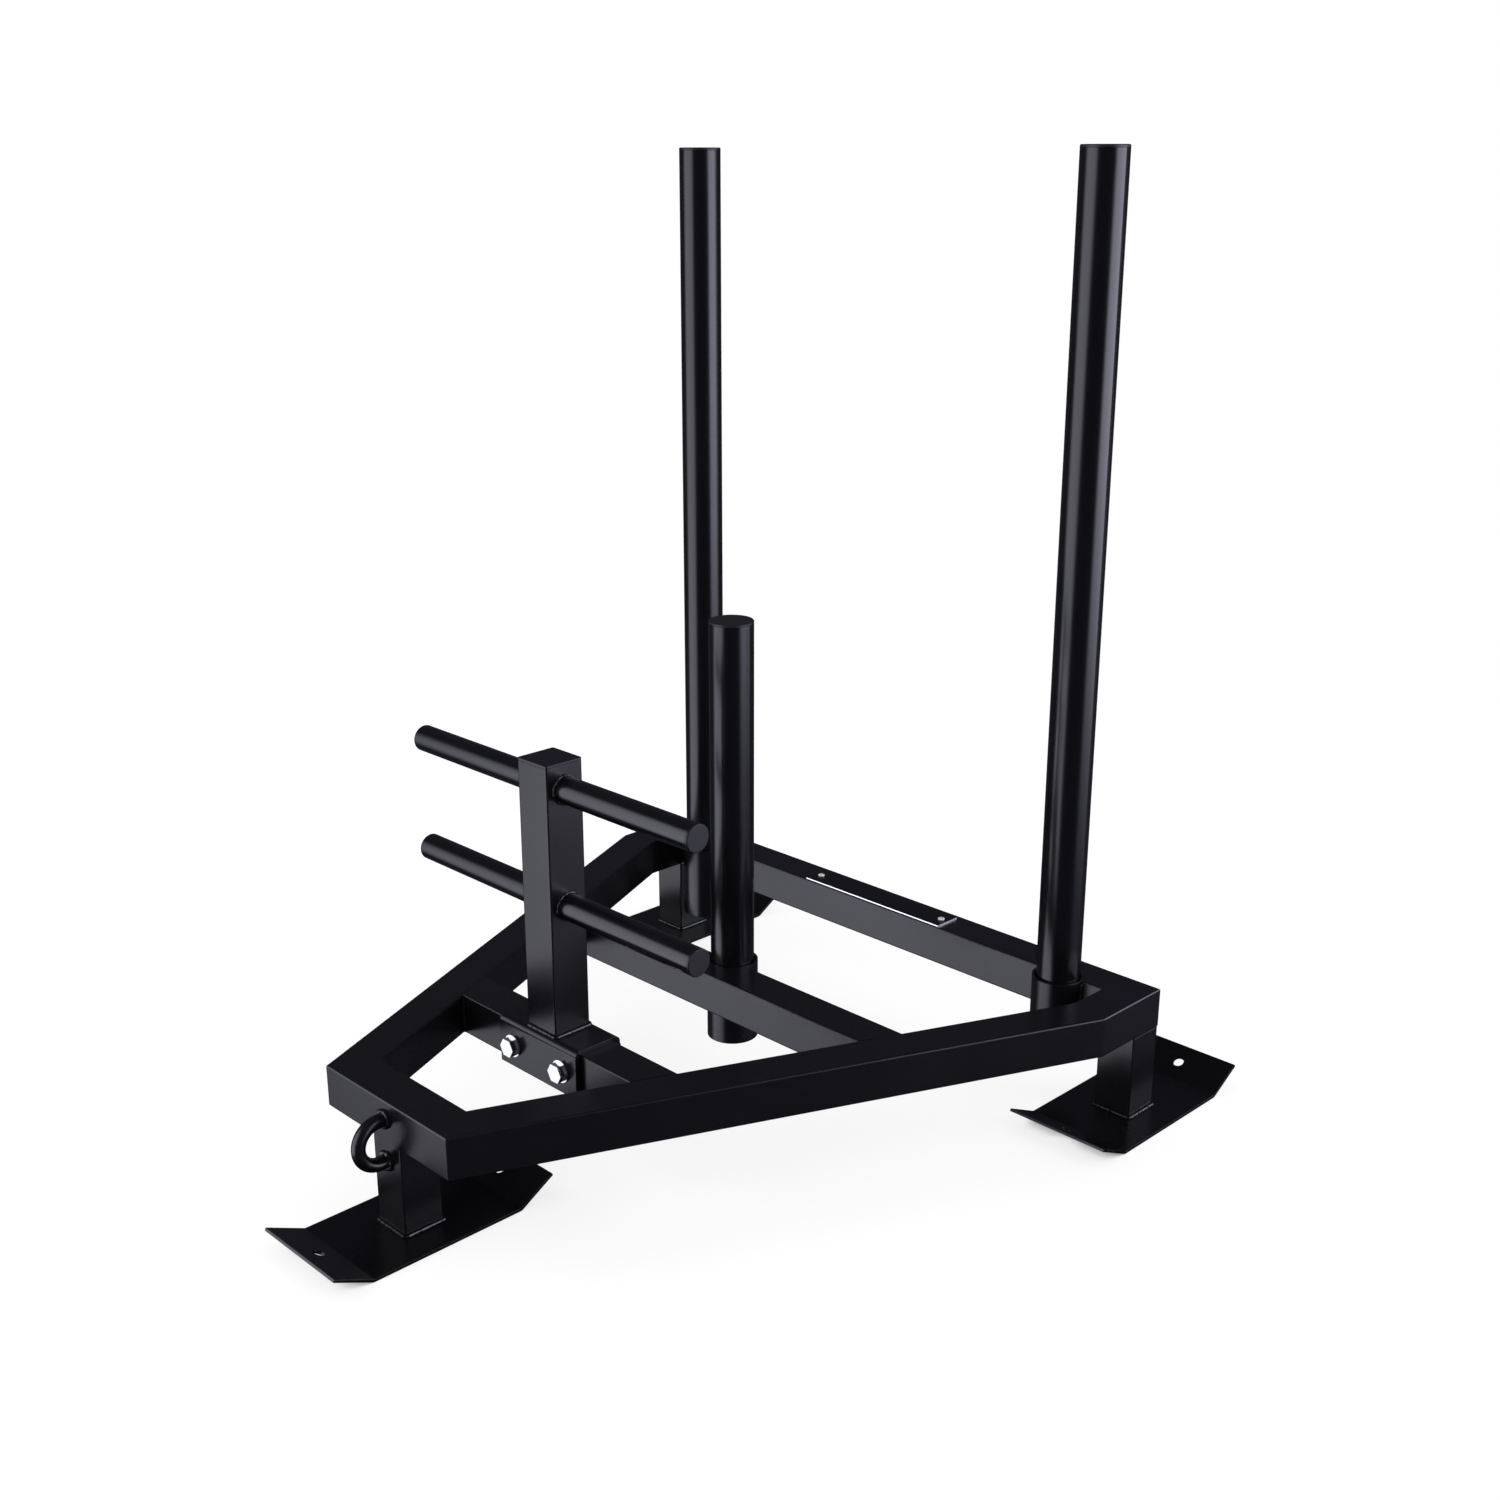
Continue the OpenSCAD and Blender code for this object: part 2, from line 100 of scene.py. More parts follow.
def coat_group():
    """Powder coat: a colour that drifts a little, and an orange peel in its surface."""
    tree = bpy.data.node_groups.new("powder_coat", "ShaderNodeTree")
    sockets = tree.interface
    for name, kind, value in (
        ("Colour", "NodeSocketColor", FRAME_BLACK),
        ("Roughness", "NodeSocketFloat", 0.35),
        ("Peel", "NodeSocketFloat", 0.1),
        ("Edge", "NodeSocketFloat", 0.001),
    ):
        made = sockets.new_socket(name, in_out="INPUT", socket_type=kind)
        made.default_value = value
    for name, kind in (
        ("Colour", "NodeSocketColor"),
        ("Roughness", "NodeSocketFloat"),
        ("Normal", "NodeSocketVector"),
    ):
        sockets.new_socket(name, in_out="OUTPUT", socket_type=kind)
    link = tree.links.new
    given = tree.nodes.new("NodeGroupInput")
    out = tree.nodes.new("NodeGroupOutput")
    place = tree.nodes.new("ShaderNodeTexCoord")
    drift = add_node(tree, "ShaderNodeTexNoise", Scale=7.0, Detail=3.0)
    peel = add_node(tree, "ShaderNodeTexNoise", Scale=520.0, Detail=2.0)
    speck = add_node(tree, "ShaderNodeTexNoise", Scale=1700.0, Detail=1.0)
    for pattern in (drift, peel, speck):
        link(place.outputs["Object"], pattern.inputs["Vector"])
    shade = add_node(tree, "ShaderNodeMapRange", To_Min=0.8, To_Max=1.2)
    link(drift.outputs["Fac"], shade.inputs["Value"])
    tint = add_node(tree, "ShaderNodeVectorMath", operation="SCALE")
    link(given.outputs["Colour"], tint.inputs[0])
    link(shade.outputs["Result"], tint.inputs["Scale"])
    link(tint.outputs["Vector"], out.inputs["Colour"])
    dull = add_node(tree, "ShaderNodeMapRange", To_Min=-0.05, To_Max=0.05)
    link(drift.outputs["Fac"], dull.inputs["Value"])
    rough = add_node(tree, "ShaderNodeMath", operation="ADD")
    link(given.outputs["Roughness"], rough.inputs[0])
    link(dull.outputs["Result"], rough.inputs[1])
    link(rough.outputs["Value"], out.inputs["Roughness"])
    mixed = add_node(tree, "ShaderNodeMath", operation="ADD")
    link(peel.outputs["Fac"], mixed.inputs[0])
    link(speck.outputs["Fac"], mixed.inputs[1])
    rounded = add_node(tree, "ShaderNodeBevel", samples=4)
    link(given.outputs["Edge"], rounded.inputs["Radius"])
    bump = add_node(tree, "ShaderNodeBump", Distance=0.0004)
    link(rounded.outputs["Normal"], bump.inputs["Normal"])
    link(given.outputs["Peel"], bump.inputs["Strength"])
    link(mixed.outputs["Value"], bump.inputs["Height"])
    link(bump.outputs["Normal"], out.inputs["Normal"])
    return tree


powder_coat = coat_group()


def coated(name, colour, roughness, peel, edge=0.001):
    """A material with the powder coat's colour, gloss, orange peel and soft edges."""
    made = bpy.data.materials.new(name)
    made.use_nodes = True
    tree = made.node_tree
    shader = tree.nodes["Principled BSDF"]
    coat = add_node(tree, "ShaderNodeGroup", node_tree=powder_coat)
    coat.inputs["Colour"].default_value = colour
    coat.inputs["Roughness"].default_value = roughness
    coat.inputs["Peel"].default_value = peel
    coat.inputs["Edge"].default_value = edge
    tree.links.new(coat.outputs["Colour"], shader.inputs["Base Color"])
    tree.links.new(coat.outputs["Roughness"], shader.inputs["Roughness"])
    tree.links.new(coat.outputs["Normal"], shader.inputs["Normal"])
    return made


def dress(parts, material):
    """Gives nodes of the frame one material."""
    for part in parts:
        slots = nodes[part].data.materials
        slots.clear()
        slots.append(material)


frame_paint = coated("frame_paint", FRAME_BLACK, roughness=0.25, peel=0.06)
dress(FRAME_PARTS, frame_paint)

# Three skids bent from 3 mm steel plate, with a hole in each turned-up end. They are
# coated with the frame, and their colour is painted a little blacker as painted shade.
SKID_BLACK_SHADED = (0.0022, 0.0022, 0.0031, 1)
SKIDS = ("front_skid", "rear_skid_left", "rear_skid_right")
LEGS = ("front_leg", "rear_leg_left", "rear_leg_right")
TUBE_CORNER = 0.002
BEAD = 0.0022
BEAD_STEP = 0.0012
BEAD_RING = 8
RIPPLE = (0.86, 1.0, 0.94)

# Painted shade: the skids' base colour is darker than the frame's, for the shade that falls
# under the frame.
skid_paint = coated("skid_paint", SKID_BLACK_SHADED, roughness=0.28, peel=0.05)
dress(SKIDS, skid_paint)


def lay_bead(form, path, up, size, closed, lumps=0.45):
    """A weld bead along a path: a round rod with a ripple, and lumps by chance."""
    rings = []
    count = len(path)
    for i, at in enumerate(path):
        before = path[i - 1] if closed or i else at
        after = path[(i + 1) % count] if closed or i + 1 < count else at
        along = (after - before).normalized()
        side = up.cross(along).normalized()
        turn = Matrix((side, along.cross(side), along)).transposed().to_4x4()
        swell = 1 + lumps * noise.noise(at * 330)
        if not closed and i in (0, count - 1):
            swell *= 0.45
        made = bmesh.ops.create_circle(
            form, segments=BEAD_RING, radius=size * swell * RIPPLE[i % len(RIPPLE)],
            matrix=Matrix.Translation(at) @ turn,
        )
        rings.append(list({e for v in made["verts"] for e in v.link_edges}))
    pairs = list(zip(rings, rings[1:]))
    if closed:
        pairs.append((rings[-1], rings[0]))
    for near, far in pairs:
        bmesh.ops.bridge_loops(form, edges=near + far)
    if not closed:
        for end in (rings[0], rings[-1]):
            bmesh.ops.contextual_create(form, geom=end)


def steps(start, end, step):
    """Points from start up to, but not with, end."""
    count = max(2, round((end - start).length / step))
    return [start.lerp(end, i / count) for i in range(count)]


def round_tube(node, z, gap):
    """Points round an upright square tube at a height, a little outside its walls."""
    low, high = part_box(node)
    middle = (low + high) / 2
    middle.z = z
    wall = (high.x - low.x) / 2 + gap
    bend = TUBE_CORNER + gap
    flat = wall - bend
    points = []
    for quarter in range(4):
        turn = Matrix.Rotation(quarter * math.pi / 2, 3, "Z")
        run = steps(Vector((wall, -flat, 0)), Vector((wall, flat, 0)), BEAD_STEP)
        for angle in (0, math.pi / 6, math.pi / 3):
            run.append(Vector((
                flat + bend * math.cos(angle), flat + bend * math.sin(angle), 0
            )))
        points += [middle + turn @ p for p in run]
    return points


def ring(middle, axis, radius, step):
    """Points of a circle round an axis."""
    first = axis.orthogonal().normalized() * radius
    count = round(2 * math.pi * radius / step)
    return [
        middle + Matrix.Rotation(2 * math.pi * i / count, 3, axis) @ first
        for i in range(count)
    ]


def finish_piece(name, form, material, body, crease=math.radians(40)):
    """Makes the form an object that rides on a body, with its sharp edges kept."""
    bmesh.ops.recalc_face_normals(form, faces=form.faces)
    for face in form.faces:
        face.smooth = True
    for edge in form.edges:
        edge.smooth = edge.calc_face_angle(0) < crease
    mesh = bpy.data.meshes.new(name)
    form.to_mesh(mesh)
    form.free()
    mesh.materials.append(material)
    made = bpy.data.objects.new(name, mesh)
    scene.collection.objects.link(made)
    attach(made, body)
    return made


# Ground welds: the legs' tops are welded under the frame's corners and ground flush on
# the outside, which fills the groove between the two tubes' rounded edges there.
GROUND_DEEP = 0.0015
ground_paint = coated("ground_paint", FRAME_BLACK, roughness=0.25, peel=0.06, edge=0.0)
flush = bmesh.new()
for leg, turns in (
    ("front_leg", (3,)), ("rear_leg_left", (1, 2)), ("rear_leg_right", (0, 1)),
):
    low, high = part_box(leg)
    middle = (low + high) / 2
    half = (high.x - low.x) / 2
    for turn in turns:
        outward = Matrix.Rotation(turn * math.pi / 2, 4, "Z")
        centre = Vector((half - GROUND_DEEP / 2, 0, high.z - middle.z + TUBE_CORNER / 2))
        size = Matrix.Diagonal((
            GROUND_DEEP, 2 * (half - TUBE_CORNER), TUBE_CORNER, 1
        ))
        bmesh.ops.create_cube(
            flush, size=1,
            matrix=Matrix.Translation(middle) @ outward
            @ Matrix.Translation(centre) @ size,
        )
finish_piece("ground_welds", flush, ground_paint, "frame")

# Foot beads: each leg's foot is welded on its skid by a bead all round, laid by hand
# and coated over with the rest.
UP = Vector((0, 0, 1))
feet = bmesh.new()
for skid, leg in zip(SKIDS, LEGS):
    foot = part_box(leg)[0].z
    lay_bead(feet, round_tube(leg, foot + BEAD * 0.3, BEAD * 0.3), UP, BEAD, True)
finish_piece("leg_foot_beads", feet, frame_paint, "frame")

# Cross rails: the front and the middle one are butted between the side rails and
# welded down their corners. The outer mitres are ground flush, so no bead shows there.
nose_low, nose_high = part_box("nose_bar")
side_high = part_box("side_rail_right")[1]
CORNER_BEAD = 0.0020
spread = (side_high.x - nose_high.x) / (side_high.y - nose_low.y)

seams = bmesh.new()
for rail in ("front_rail", "mid_rail"):
    low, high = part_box(rail)
    half_front = high.x - (high.y - low.y) * spread
    for side in (-1, 1):
        for x, y, ahead in (
            (half_front, low.y, -1), (high.x, high.y, 1),
        ):
            inset = CORNER_BEAD * (0.9 if ahead < 0 else 0.5)
            start = Vector((side * (x - inset), y + ahead * CORNER_BEAD * 0.35, low.z))
            end = start + UP * (high.z - low.z - CORNER_BEAD * 0.7)
            start += UP * CORNER_BEAD * 0.7
            lay_bead(
                seams, steps(start, end, BEAD_STEP), Vector((0, 1, 0)),
                CORNER_BEAD, False, lumps=0.3,
            )
finish_piece("cross_rail_beads", seams, frame_paint, "frame")

# Socket beads: the sockets are short round steel tubes, let into the rails and welded
# to them down both sides, then coated with the frame.
SOCKETS = (
    ("pole_socket_left", "rear_rail", 0, -1),
    ("pole_socket_right", "rear_rail", 0, -1),
    ("post_socket", "mid_rail", 1, 1),
)
sides = bmesh.new()
for socket, rail, which, ahead in SOCKETS:
    low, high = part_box(socket)
    rail_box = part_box(rail)
    middle = (low + high) / 2
    radius = (high.x - low.x) / 2
    face = rail_box[which].y
    reach = math.sqrt(radius ** 2 - (face - middle.y) ** 2)
    for side in (-1, 1):
        foot = Vector((
            middle.x + side * (reach + BEAD * 0.35), face + ahead * BEAD * 0.35,
            rail_box[0].z + BEAD,
        ))
        top = foot + UP * (rail_box[1].z - rail_box[0].z - 1.6 * BEAD)
        lay_bead(sides, steps(foot, top, BEAD_STEP), Vector((0, 1, 0)), BEAD, False)
finish_piece("socket_beads", sides, frame_paint, "frame")

# Tow loop beads: the loop is a bent steel bar, whose two ends are welded on the nose's
# front face with thick, lumpy beads.
LOOP_BAR = 0.007
LOOP_BEAD = 0.0029
loop_low, loop_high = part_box("tow_loop")
ends = bmesh.new()
for z in (loop_low.z + LOOP_BAR, loop_high.z - LOOP_BAR):
    at = Vector((0, nose_low.y - LOOP_BEAD * 0.35, z))
    along = Vector((0, -1, 0))
    path = ring(at, along, LOOP_BAR + LOOP_BEAD * 0.3, BEAD_STEP)
    lay_bead(ends, path, along, LOOP_BEAD, True, lumps=0.55)
finish_piece("tow_loop_beads", ends, frame_paint, "frame")

# Handle: a square post welded on the saddle, with two round bars through it, which are
# welded where they come out of its two sides.
BAR_BEAD = 0.0015
joints = bmesh.new()
post_low, post_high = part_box("handle_post")
saddle_top = post_low.z + BEAD * 0.3
lay_bead(joints, round_tube("handle_post", saddle_top, BEAD * 0.3), UP, BEAD, True)
for bar in ("lower_handle", "upper_handle"):
    low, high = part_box(bar)
    middle = (low + high) / 2
    radius = (high.z - low.z) / 2
    for side, wall in ((-1, post_low.x), (1, post_high.x)):
        middle.x = wall + side * BAR_BEAD * 0.3
        along = Vector((side, 0, 0))
        path = ring(middle.copy(), along, radius + BAR_BEAD * 0.3, BEAD_STEP)
        lay_bead(joints, path, along, BAR_BEAD, True, lumps=0.85)
finish_piece("handle_beads", joints, frame_paint, "frame")

# Push poles, weight post and handle bars: round steel tube with a glossier black coat.
# The bars' ends are closed by flush discs, coated a little duller.
POST_BLACK = (0.0045, 0.0046, 0.0064, 1)
post_paint = coated("post_paint", POST_BLACK, roughness=0.21, peel=0.03)
disc_paint = coated("disc_paint", POST_BLACK, roughness=0.36, peel=0.03)
dress((
    "push_pole_left", "push_pole_right", "weight_post", "upper_handle", "lower_handle",
), post_paint)
dress(("upper_handle_plugs", "lower_handle_plugs"), disc_paint)

# Caps of the posts: black moulded plastic plugs with a flat flange, pressed into the
# tubes' tops. They are a little paler and duller than the coat.
cap_plastic = coated("cap_plastic", (0.013, 0.0125, 0.015, 1), roughness=0.42, peel=0.02)
dress(("pole_cap_left", "pole_cap_right", "weight_post_cap"), cap_plastic)

# Saddle bolts, washers and nuts: steel, bright zinc plated, with a fine mottle. The
# bolts' ends stand out of their nuts with a coarse thread.
THREAD_PITCH = 0.00175
THREAD_DEPTH = 0.00035
BOLT_R = 0.006
THREAD_STEPS = 24


def plated(name, colour, roughness):
    """Zinc plate: bright metal whose gloss is mottled."""
    made = bpy.data.materials.new(name)
    made.use_nodes = True
    tree = made.node_tree
    shader = tree.nodes["Principled BSDF"]
    shader.inputs["Base Color"].default_value = colour
    shader.inputs["Metallic"].default_value = 1.0
    place = tree.nodes.new("ShaderNodeTexCoord")
    mottle = add_node(tree, "ShaderNodeTexNoise", Scale=900.0, Detail=3.0)
    gloss = add_node(
        tree, "ShaderNodeMapRange", To_Min=roughness - 0.06, To_Max=roughness + 0.08
    )
    tree.links.new(place.outputs["Object"], mottle.inputs["Vector"])
    tree.links.new(mottle.outputs["Fac"], gloss.inputs["Value"])
    tree.links.new(gloss.outputs["Result"], shader.inputs["Roughness"])
    return made


zinc = plated("zinc", (0.9, 0.9, 0.9, 1), 0.14)
dress(("saddle_bolts", "saddle_washers", "saddle_nuts"), zinc)

bolt_low, bolt_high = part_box("saddle_bolts")
nut_low, nut_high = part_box("saddle_nuts")
bolt_z = (bolt_low.z + bolt_high.z) / 2
bolt_x = (nut_high.x - nut_low.x) / 2 - (nut_high.z - nut_low.z) / math.sqrt(3)
threads = bmesh.new()
for side in (-1, 1):
    start = nut_high.y
    turns = (bolt_high.y - start) / THREAD_PITCH - 1
    half = THREAD_PITCH * 0.42
    made = [
        threads.verts.new((side * bolt_x, start + y, bolt_z + r))
        for y, r in (
            (0, BOLT_R - 0.0002), (half, BOLT_R + THREAD_DEPTH), (2 * half, BOLT_R - 0.0002),
        )
    ]
    loop = [threads.edges.new((made[i], made[(i + 1) % 3])) for i in range(3)]
    bmesh.ops.spin(
        threads, geom=made + loop, cent=(side * bolt_x, start, bolt_z),
        axis=(0, 1, 0), angle=2 * math.pi * turns, steps=round(THREAD_STEPS * turns),
        dvec=(0, THREAD_PITCH / THREAD_STEPS, 0),
    )
bmesh.ops.holes_fill(threads, edges=[e for e in threads.edges if e.is_boundary], sides=3)
finish_piece("bolt_threads", threads, zinc, "frame")

# Name plate: a thin blank plate, with a dark face and bright cut edges, held by two
# screws with a cross recess.
PLATE_FACE = (0.003, 0.003, 0.0036, 1)
PLATE_EDGE = (0.9, 0.9, 0.92, 1)
plate_metal = bpy.data.materials.new("plate_metal")
plate_metal.use_nodes = True
plate_tree = plate_metal.node_tree
plate_shader = plate_tree.nodes["Principled BSDF"]
plate_shader.inputs["Roughness"].default_value = 0.28
facing = plate_tree.nodes.new("ShaderNodeTexCoord")
split = plate_tree.nodes.new("ShaderNodeSeparateXYZ")
plate_tree.links.new(facing.outputs["Normal"], split.inputs["Vector"])
flatness = add_node(plate_tree, "ShaderNodeMath", operation="ABSOLUTE")
plate_tree.links.new(split.outputs["Z"], flatness.inputs[0])
is_edge = add_node(plate_tree, "ShaderNodeMath", operation="LESS_THAN")
is_edge.inputs[1].default_value = 0.7
plate_tree.links.new(flatness.outputs["Value"], is_edge.inputs[0])
plate_colour = add_node(plate_tree, "ShaderNodeMix", data_type="RGBA")
plate_tree.links.new(is_edge.outputs["Value"], plate_colour.inputs["Factor"])
plate_colour.inputs["A"].default_value = PLATE_FACE
plate_colour.inputs["B"].default_value = PLATE_EDGE
plate_tree.links.new(plate_colour.outputs["Result"], plate_shader.inputs["Base Color"])
plate_tree.links.new(is_edge.outputs["Value"], plate_shader.inputs["Metallic"])
dress(("name_plate",), plate_metal)

# Plate screws: two pan-head screws of pale zinc plated steel, which hold the name plate
# down. Each has a cross recess, with painted shade inside it.
CROSS_HALF = 0.0011
CROSS_REACH = 0.0036
CROSS_DEEP = 0.0017
HEAD_SKIRT = 0.4
HEAD_GRID = 32
SHANK = 0.5
CROSS_TURNS = (20, -15)

pale_zinc = plated("pale_zinc", (0.9, 0.9, 0.9, 1), 0.3)
tree = pale_zinc.node_tree
shader = tree.nodes["Principled BSDF"]
shader.inputs["Metallic"].default_value = 0.1
# Painted shade: the base colour darkens wherever the surface is closely hemmed in, as in the
# cross recess.
hollow = add_node(
    tree, "ShaderNodeAmbientOcclusion", samples=8, Distance=0.0015, Color=(0.95, 0.95, 0.95, 1)
)
recess_painted_shade = add_node(tree, "ShaderNodeGamma", Gamma=2.0)
tree.links.new(hollow.outputs["Color"], recess_painted_shade.inputs["Color"])
tree.links.new(recess_painted_shade.outputs["Color"], shader.inputs["Base Color"])

low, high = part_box("plate_screws")
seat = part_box("name_plate")[1].z
radius = (high.y - low.y) / 2
heads = bmesh.new()
for side, turn in zip((-1, 1), CROSS_TURNS):
    grid = bmesh.ops.create_grid(
        heads, x_segments=HEAD_GRID, y_segments=HEAD_GRID, size=radius
    )["verts"]
    reach = max(v.co.x for v in grid)
    rim = list({e for v in grid for e in v.link_edges if e.is_boundary})
    for vert in grid:
        x, y = vert.co.x / reach, vert.co.y / reach
        vert.co.x = radius * x * math.sqrt(1 - y * y / 2)
        vert.co.y = radius * y * math.sqrt(1 - x * x / 2)
        out_share = min(1, (vert.co.x ** 2 + vert.co.y ** 2) / radius ** 2)
        dome = HEAD_SKIRT + (1 - HEAD_SKIRT) * math.sqrt(1 - out_share)
        along, across = sorted((abs(vert.co.x), abs(vert.co.y)), reverse=True)
        deep = 0
        if across < CROSS_HALF and along < CROSS_REACH:
            deep = CROSS_DEEP * math.sqrt(1 - along / CROSS_REACH)
        vert.co.z = (high.z - seat) * dome - deep
    made = list(grid)
    for scale, z in ((1, 0), (SHANK, 0), (1, low.z - seat)):
        wall = bmesh.ops.extrude_edge_only(heads, edges=rim)["geom"]
        moved = [v for v in wall if isinstance(v, bmesh.types.BMVert)]
        rim = [e for e in wall if isinstance(e, bmesh.types.BMEdge) and e.is_boundary]
        for vert in moved:
            vert.co.x *= scale
            vert.co.y *= scale
            vert.co.z = z
        made += moved
    bmesh.ops.contextual_create(heads, geom=rim)
    place = Vector((side * (high.x - radius), (low.y + high.y) / 2, seat))
    bmesh.ops.transform(
        heads, verts=made,
        matrix=Matrix.Translation(place) @ Matrix.Rotation(math.radians(turn), 4, "Z"),
    )
screws = finish_piece("screw_heads", heads, pale_zinc, "frame")
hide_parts("plate_screws")

# The floor is white and takes the sled's soft shadow, and its glow carries painted shade
# where a skid covers it closely. It melts into the white room, which lights the sled
# evenly. The lens sees both, and the coat mirrors the shell instead.
FLOOR_HALF = 40.0
FLOOR_COLOUR = (0.27, 0.27, 0.27, 1)
FLOOR_GLOW = 0.80
SHADOW_NEAR = 1.0
SHADOW_FAR = 2.6
ROOM_LIGHT = 0.75
PAINTED_SHADE_REACH = 0.02
PAINTED_SHADE_FULL = 0.35


def stage_object(name, form, material):
    """Makes the form an object that isn't part of the sled."""
    mesh = bpy.data.meshes.new(name)
    form.to_mesh(mesh)
    form.free()
    mesh.materials.append(material)
    made = bpy.data.objects.new(name, mesh)
    scene.collection.objects.link(made)
    return made


def background_rays(tree):
    """1 for the rays that show the background: seen, mirrored or passed through."""
    rays = tree.nodes.new("ShaderNodeLightPath")
    total = rays.outputs["Is Camera Ray"]
    for name in ("Is Glossy Ray", "Is Transmission Ray"):
        more = add_node(tree, "ShaderNodeMath", operation="ADD", use_clamp=True)
        tree.links.new(total, more.inputs[0])
        tree.links.new(rays.outputs[name], more.inputs[1])
        total = more.outputs["Value"]
    return total


floor_white = bpy.data.materials.new("floor_white")
floor_white.use_nodes = True
tree = floor_white.node_tree
shader = tree.nodes["Principled BSDF"]
shader.inputs["Base Color"].default_value = FLOOR_COLOUR
shader.inputs["Roughness"].default_value = 1.0
shader.inputs["Specular IOR Level"].default_value = 0.0
shader.inputs["Emission Color"].default_value = (1, 1, 1, 1)
shown = background_rays(tree)
near_glow = add_node(tree, "ShaderNodeMath", operation="MULTIPLY")
near_glow.inputs[1].default_value = FLOOR_GLOW
tree.links.new(shown, near_glow.inputs[0])
# Painted shade: the floor's glow is darkened where the occlusion finds a skid close above it.
cover = add_node(tree, "ShaderNodeAmbientOcclusion", samples=8, Distance=PAINTED_SHADE_REACH)
unshaded_share = add_node(tree, "ShaderNodeMapRange", From_Max=PAINTED_SHADE_FULL)
tree.links.new(cover.outputs["AO"], unshaded_share.inputs["Value"])
glow_with_painted_shade = add_node(tree, "ShaderNodeMath", operation="MULTIPLY")
tree.links.new(near_glow.outputs["Value"], glow_with_painted_shade.inputs[0])
tree.links.new(unshaded_share.outputs["Result"], glow_with_painted_shade.inputs[1])
tree.links.new(glow_with_painted_shade.outputs["Value"], shader.inputs["Emission Strength"])
place = tree.nodes.new("ShaderNodeTexCoord")
distance = add_node(tree, "ShaderNodeVectorMath", operation="LENGTH")
tree.links.new(place.outputs["Object"], distance.inputs[0])
away = add_node(
    tree, "ShaderNodeMapRange", interpolation_type="SMOOTHSTEP",
    From_Min=SHADOW_NEAR, From_Max=SHADOW_FAR,
)
tree.links.new(distance.outputs["Value"], away.inputs["Value"])
glow = tree.nodes.new("ShaderNodeEmission")
tree.links.new(shown, glow.inputs["Strength"])
blend = tree.nodes.new("ShaderNodeMixShader")
tree.links.new(away.outputs["Result"], blend.inputs["Fac"])
tree.links.new(shader.outputs["BSDF"], blend.inputs[1])
tree.links.new(glow.outputs["Emission"], blend.inputs[2])
tree.links.new(blend.outputs["Shader"], tree.nodes["Material Output"].inputs["Surface"])
ground = bmesh.new()
bmesh.ops.create_grid(
    ground, x_segments=1, y_segments=1, size=FLOOR_HALF,
    matrix=Matrix.Translation((0, 0, cad_low.z - 0.0005)),
)
stage_object("floor", ground, floor_white).visible_glossy = False

room = bpy.data.worlds.new("room")
room.use_nodes = True
scene.world = room
tree = room.node_tree
level = add_node(tree, "ShaderNodeMapRange", To_Min=ROOM_LIGHT, To_Max=1.0)
tree.links.new(background_rays(tree), level.inputs["Value"])
light = tree.nodes["Background"]
tree.links.new(level.outputs["Result"], light.inputs["Strength"])
light.inputs["Color"].default_value = (1, 1, 1, 1)

# Studio shell: dark cloth all round, with two soft white light boxes on it, a wide low
# one at the front left and a brighter one at the right. Only the coat's mirror sees it.
SHELL_R = 9.0
CLOTH = 0.065
CLOTH_COLOUR = (0.72, 0.73, 1.0, 1)
LEFT_BOX = dict(
    toward=244, narrow=15, wide=36, foot=(-33, -24.5), top=(48, 28), level=2.5,
    colour=(0.88, 0.89, 1.0, 1),
)
RIGHT_BOX = dict(
    toward=30, narrow=17, wide=35, foot=(-21, 0), top=(40, 20), level=4.5,
    colour=(0.82, 0.83, 1.0, 1),
)


def light_box_group():
    """How much of a light box lies in a direction, from none to all of it."""
    tree = bpy.data.node_groups.new("light_box", "ShaderNodeTree")
    sockets = tree.interface
    for name in ("Direction", "Toward"):
        sockets.new_socket(name, in_out="INPUT", socket_type="NodeSocketVector")
    for name in ("Wide", "Narrow", "Foot Out", "Foot In", "Top Out", "Top In"):
        sockets.new_socket(name, in_out="INPUT", socket_type="NodeSocketFloat")
    sockets.new_socket("Amount", in_out="OUTPUT", socket_type="NodeSocketFloat")
    link = tree.links.new
    given = tree.nodes.new("NodeGroupInput")
    out = tree.nodes.new("NodeGroupOutput")
    flat_part = add_node(tree, "ShaderNodeVectorMath", operation="MULTIPLY")
    flat_part.inputs[1].default_value = (1, 1, 0)
    link(given.outputs["Direction"], flat_part.inputs[0])
    bearing = add_node(tree, "ShaderNodeVectorMath", operation="NORMALIZE")
    link(flat_part.outputs["Vector"], bearing.inputs[0])
    apart = add_node(tree, "ShaderNodeVectorMath", operation="DOT_PRODUCT")
    link(bearing.outputs["Vector"], apart.inputs[0])
    link(given.outputs["Toward"], apart.inputs[1])
    parts = tree.nodes.new("ShaderNodeSeparateXYZ")
    link(given.outputs["Direction"], parts.inputs["Vector"])
    amount = None
    for value, start, end in (
        (apart.outputs["Value"], "Wide", "Narrow"),
        (parts.outputs["Z"], "Foot Out", "Foot In"),
        (parts.outputs["Z"], "Top Out", "Top In"),
    ):
        edge = add_node(tree, "ShaderNodeMapRange", interpolation_type="SMOOTHSTEP")
        link(value, edge.inputs["Value"])
        link(given.outputs[start], edge.inputs["From Min"])
        link(given.outputs[end], edge.inputs["From Max"])
        if amount is None:
            amount = edge.outputs["Result"]
            continue
        both = add_node(tree, "ShaderNodeMath", operation="MULTIPLY")
        link(amount, both.inputs[0])
        link(edge.outputs["Result"], both.inputs[1])
        amount = both.outputs["Value"]
    link(amount, out.inputs["Amount"])
    return tree


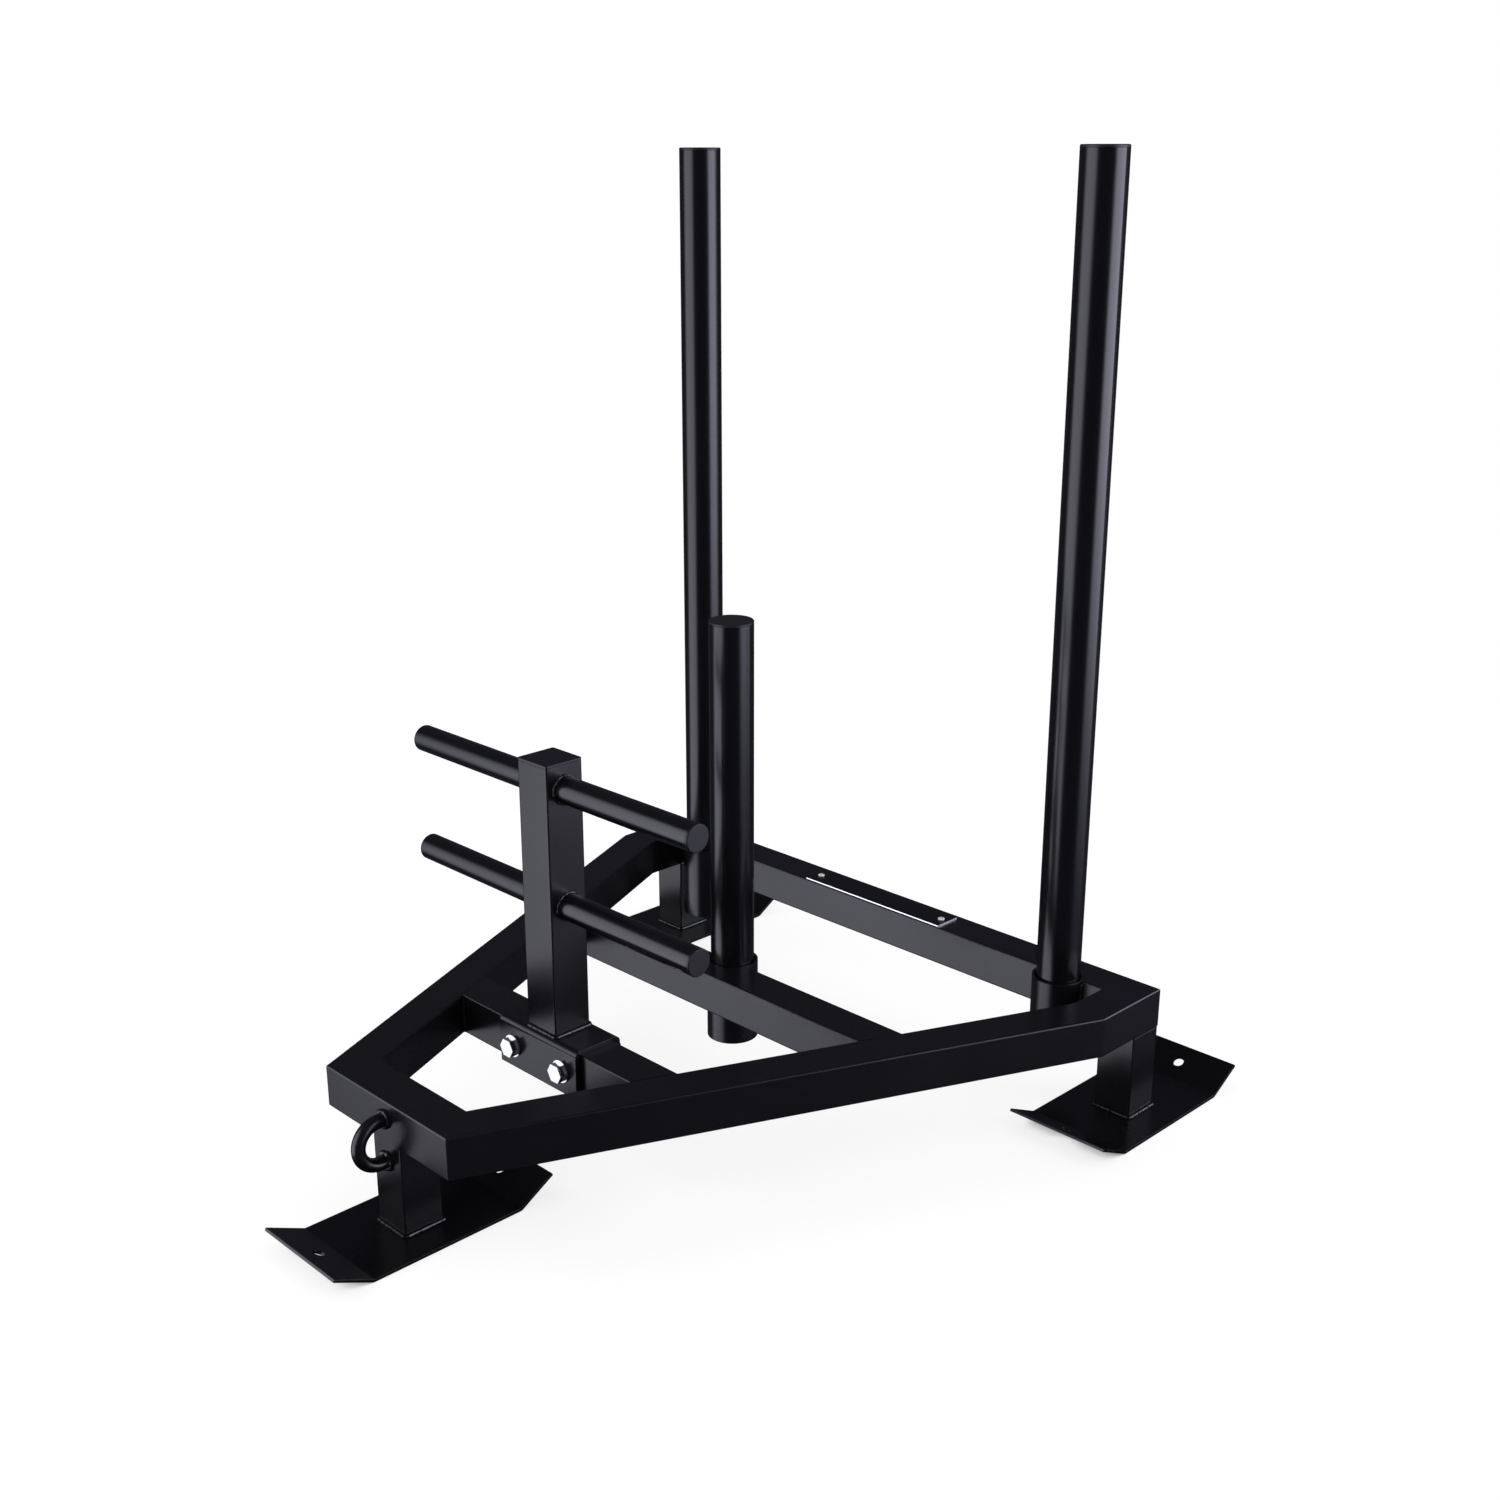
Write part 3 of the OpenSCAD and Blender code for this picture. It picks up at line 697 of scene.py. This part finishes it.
light_box = light_box_group()
shell_light = bpy.data.materials.new("shell_light")
shell_light.use_nodes = True
tree = shell_light.node_tree
tree.nodes.remove(tree.nodes["Principled BSDF"])
place = tree.nodes.new("ShaderNodeTexCoord")
direction = add_node(tree, "ShaderNodeVectorMath", operation="NORMALIZE")
tree.links.new(place.outputs["Object"], direction.inputs[0])
cloth = add_node(tree, "ShaderNodeEmission", Color=CLOTH_COLOUR, Strength=CLOTH)
glows = cloth.outputs["Emission"]
for box in (LEFT_BOX, RIGHT_BOX):
    mask = add_node(tree, "ShaderNodeGroup", node_tree=light_box)
    bearing = math.radians(box["toward"])
    mask.inputs["Toward"].default_value = (math.cos(bearing), math.sin(bearing), 0)
    for name, value in (
        ("Wide", math.cos(math.radians(box["wide"]))),
        ("Narrow", math.cos(math.radians(box["narrow"]))),
        ("Foot Out", math.sin(math.radians(box["foot"][0]))),
        ("Foot In", math.sin(math.radians(box["foot"][1]))),
        ("Top Out", math.sin(math.radians(box["top"][0]))),
        ("Top In", math.sin(math.radians(box["top"][1]))),
    ):
        mask.inputs[name].default_value = value
    tree.links.new(direction.outputs["Vector"], mask.inputs["Direction"])
    strength = add_node(tree, "ShaderNodeMath", operation="MULTIPLY")
    strength.inputs[1].default_value = box["level"]
    tree.links.new(mask.outputs["Amount"], strength.inputs[0])
    face = add_node(tree, "ShaderNodeEmission", Color=box["colour"])
    tree.links.new(strength.outputs["Value"], face.inputs["Strength"])
    total = tree.nodes.new("ShaderNodeAddShader")
    tree.links.new(glows, total.inputs[0])
    tree.links.new(face.outputs["Emission"], total.inputs[1])
    glows = total.outputs["Shader"]
tree.links.new(glows, tree.nodes["Material Output"].inputs["Surface"])
shell_form = bmesh.new()
bmesh.ops.create_uvsphere(shell_form, u_segments=48, v_segments=24, radius=SHELL_R)
shell = stage_object("studio_shell", shell_form, shell_light)

# Shade round the skids: the floor right beside each skid lies in its shade, so it is
# dark where the legs mirror it. Only the coat's mirror sees these three dark patches.
SHADE_REACH = 0.038
SHADE_LIFT = 0.0003

shade_black = bpy.data.materials.new("shade_black")
shade_black.use_nodes = True
shader = shade_black.node_tree.nodes["Principled BSDF"]
shader.inputs["Base Color"].default_value = (0, 0, 0, 1)
shader.inputs["Specular IOR Level"].default_value = 0.0
patches = bmesh.new()
for skid in SKIDS:
    low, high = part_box(skid)
    middle = (low + high) / 2
    middle.z = low.z - SHADE_LIFT
    size = Matrix.Diagonal((high.x - low.x + 2 * SHADE_REACH, high.y - low.y, 1, 1))
    bmesh.ops.create_grid(
        patches, x_segments=1, y_segments=1, size=0.5,
        matrix=Matrix.Translation(middle) @ size,
    )
shade = stage_object("skid_shade", patches, shade_black)
for unseen in (shell, shade):
    unseen.visible_camera = False
    unseen.visible_diffuse = False
    unseen.visible_transmission = False
    unseen.visible_shadow = False

# Soft lamps: a large key at the front left and a large fill at the right, which give
# the floor its faint shadow. The coat doesn't mirror them.
for name, at, size, power in (
    ("key", (-2.3, -2.6, 2.6), 1.8, 34),
    ("fill", (3.0, 1.4, 2.4), 2.0, 22),
):
    lamp = bpy.data.objects.new(name, bpy.data.lights.new(name, "AREA"))
    lamp.data.shape = "SQUARE"
    lamp.data.size = size
    lamp.data.energy = power
    lamp.location = at
    aim = Vector((0, 0, 0.4)) - Vector(at)
    lamp.rotation_euler = aim.to_track_quat("-Z", "Y").to_euler()
    lamp.visible_glossy = False
    scene.collection.objects.link(lamp)
